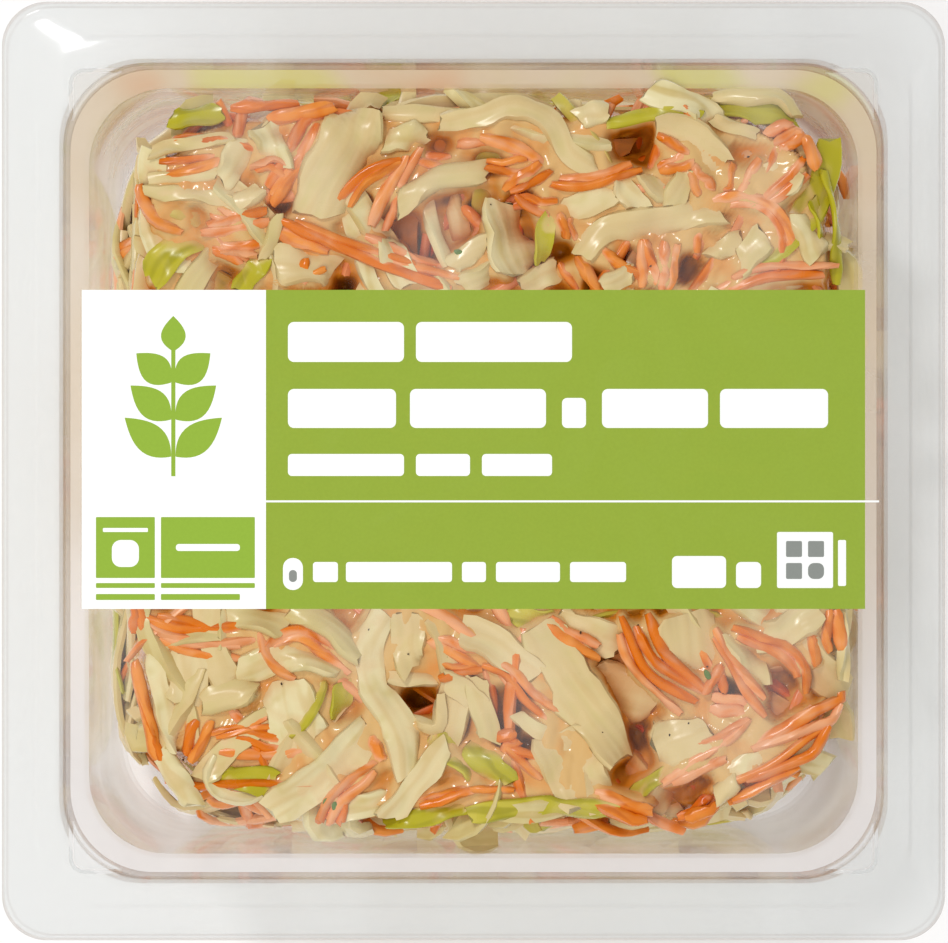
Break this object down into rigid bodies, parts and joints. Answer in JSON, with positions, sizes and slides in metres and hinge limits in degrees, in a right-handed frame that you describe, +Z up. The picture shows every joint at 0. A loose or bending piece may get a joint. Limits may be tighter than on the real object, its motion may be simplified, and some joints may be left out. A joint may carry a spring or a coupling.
{
  "type": "coleslaw",
  "caption": "Shredded cabbage and carrot coleslaw in a clear square tub with a flat flange, closed by a clear heat-sealed film with a green and white printed panel.",
  "frame": {"origin": "centre of the pack's footprint, on the plane that the tub's foot stands on", "axes": "+Z up out of the film, +X to the right of the printed panel, +Y towards the panel's far edge"},
  "size_m": [0.125, 0.1244, 0.0384],
  "materials": {
    "tub_plastic": "clear thermoformed polyester sheet, glossy, faintly hazy where it is drawn",
    "film_plastic": "clear lidding film, glossy, sealed flat on the flange",
    "label_print": "green and white ink printed under a glossy film",
    "coleslaw": "moist cabbage and carrot shreds in a creamy dressing"
  },
  "bodies": {
    "root": {"tub": "tub_plastic", "film": "film_plastic", "label": "label_print", "coleslaw": "coleslaw"}
  },
  "joints": []
}
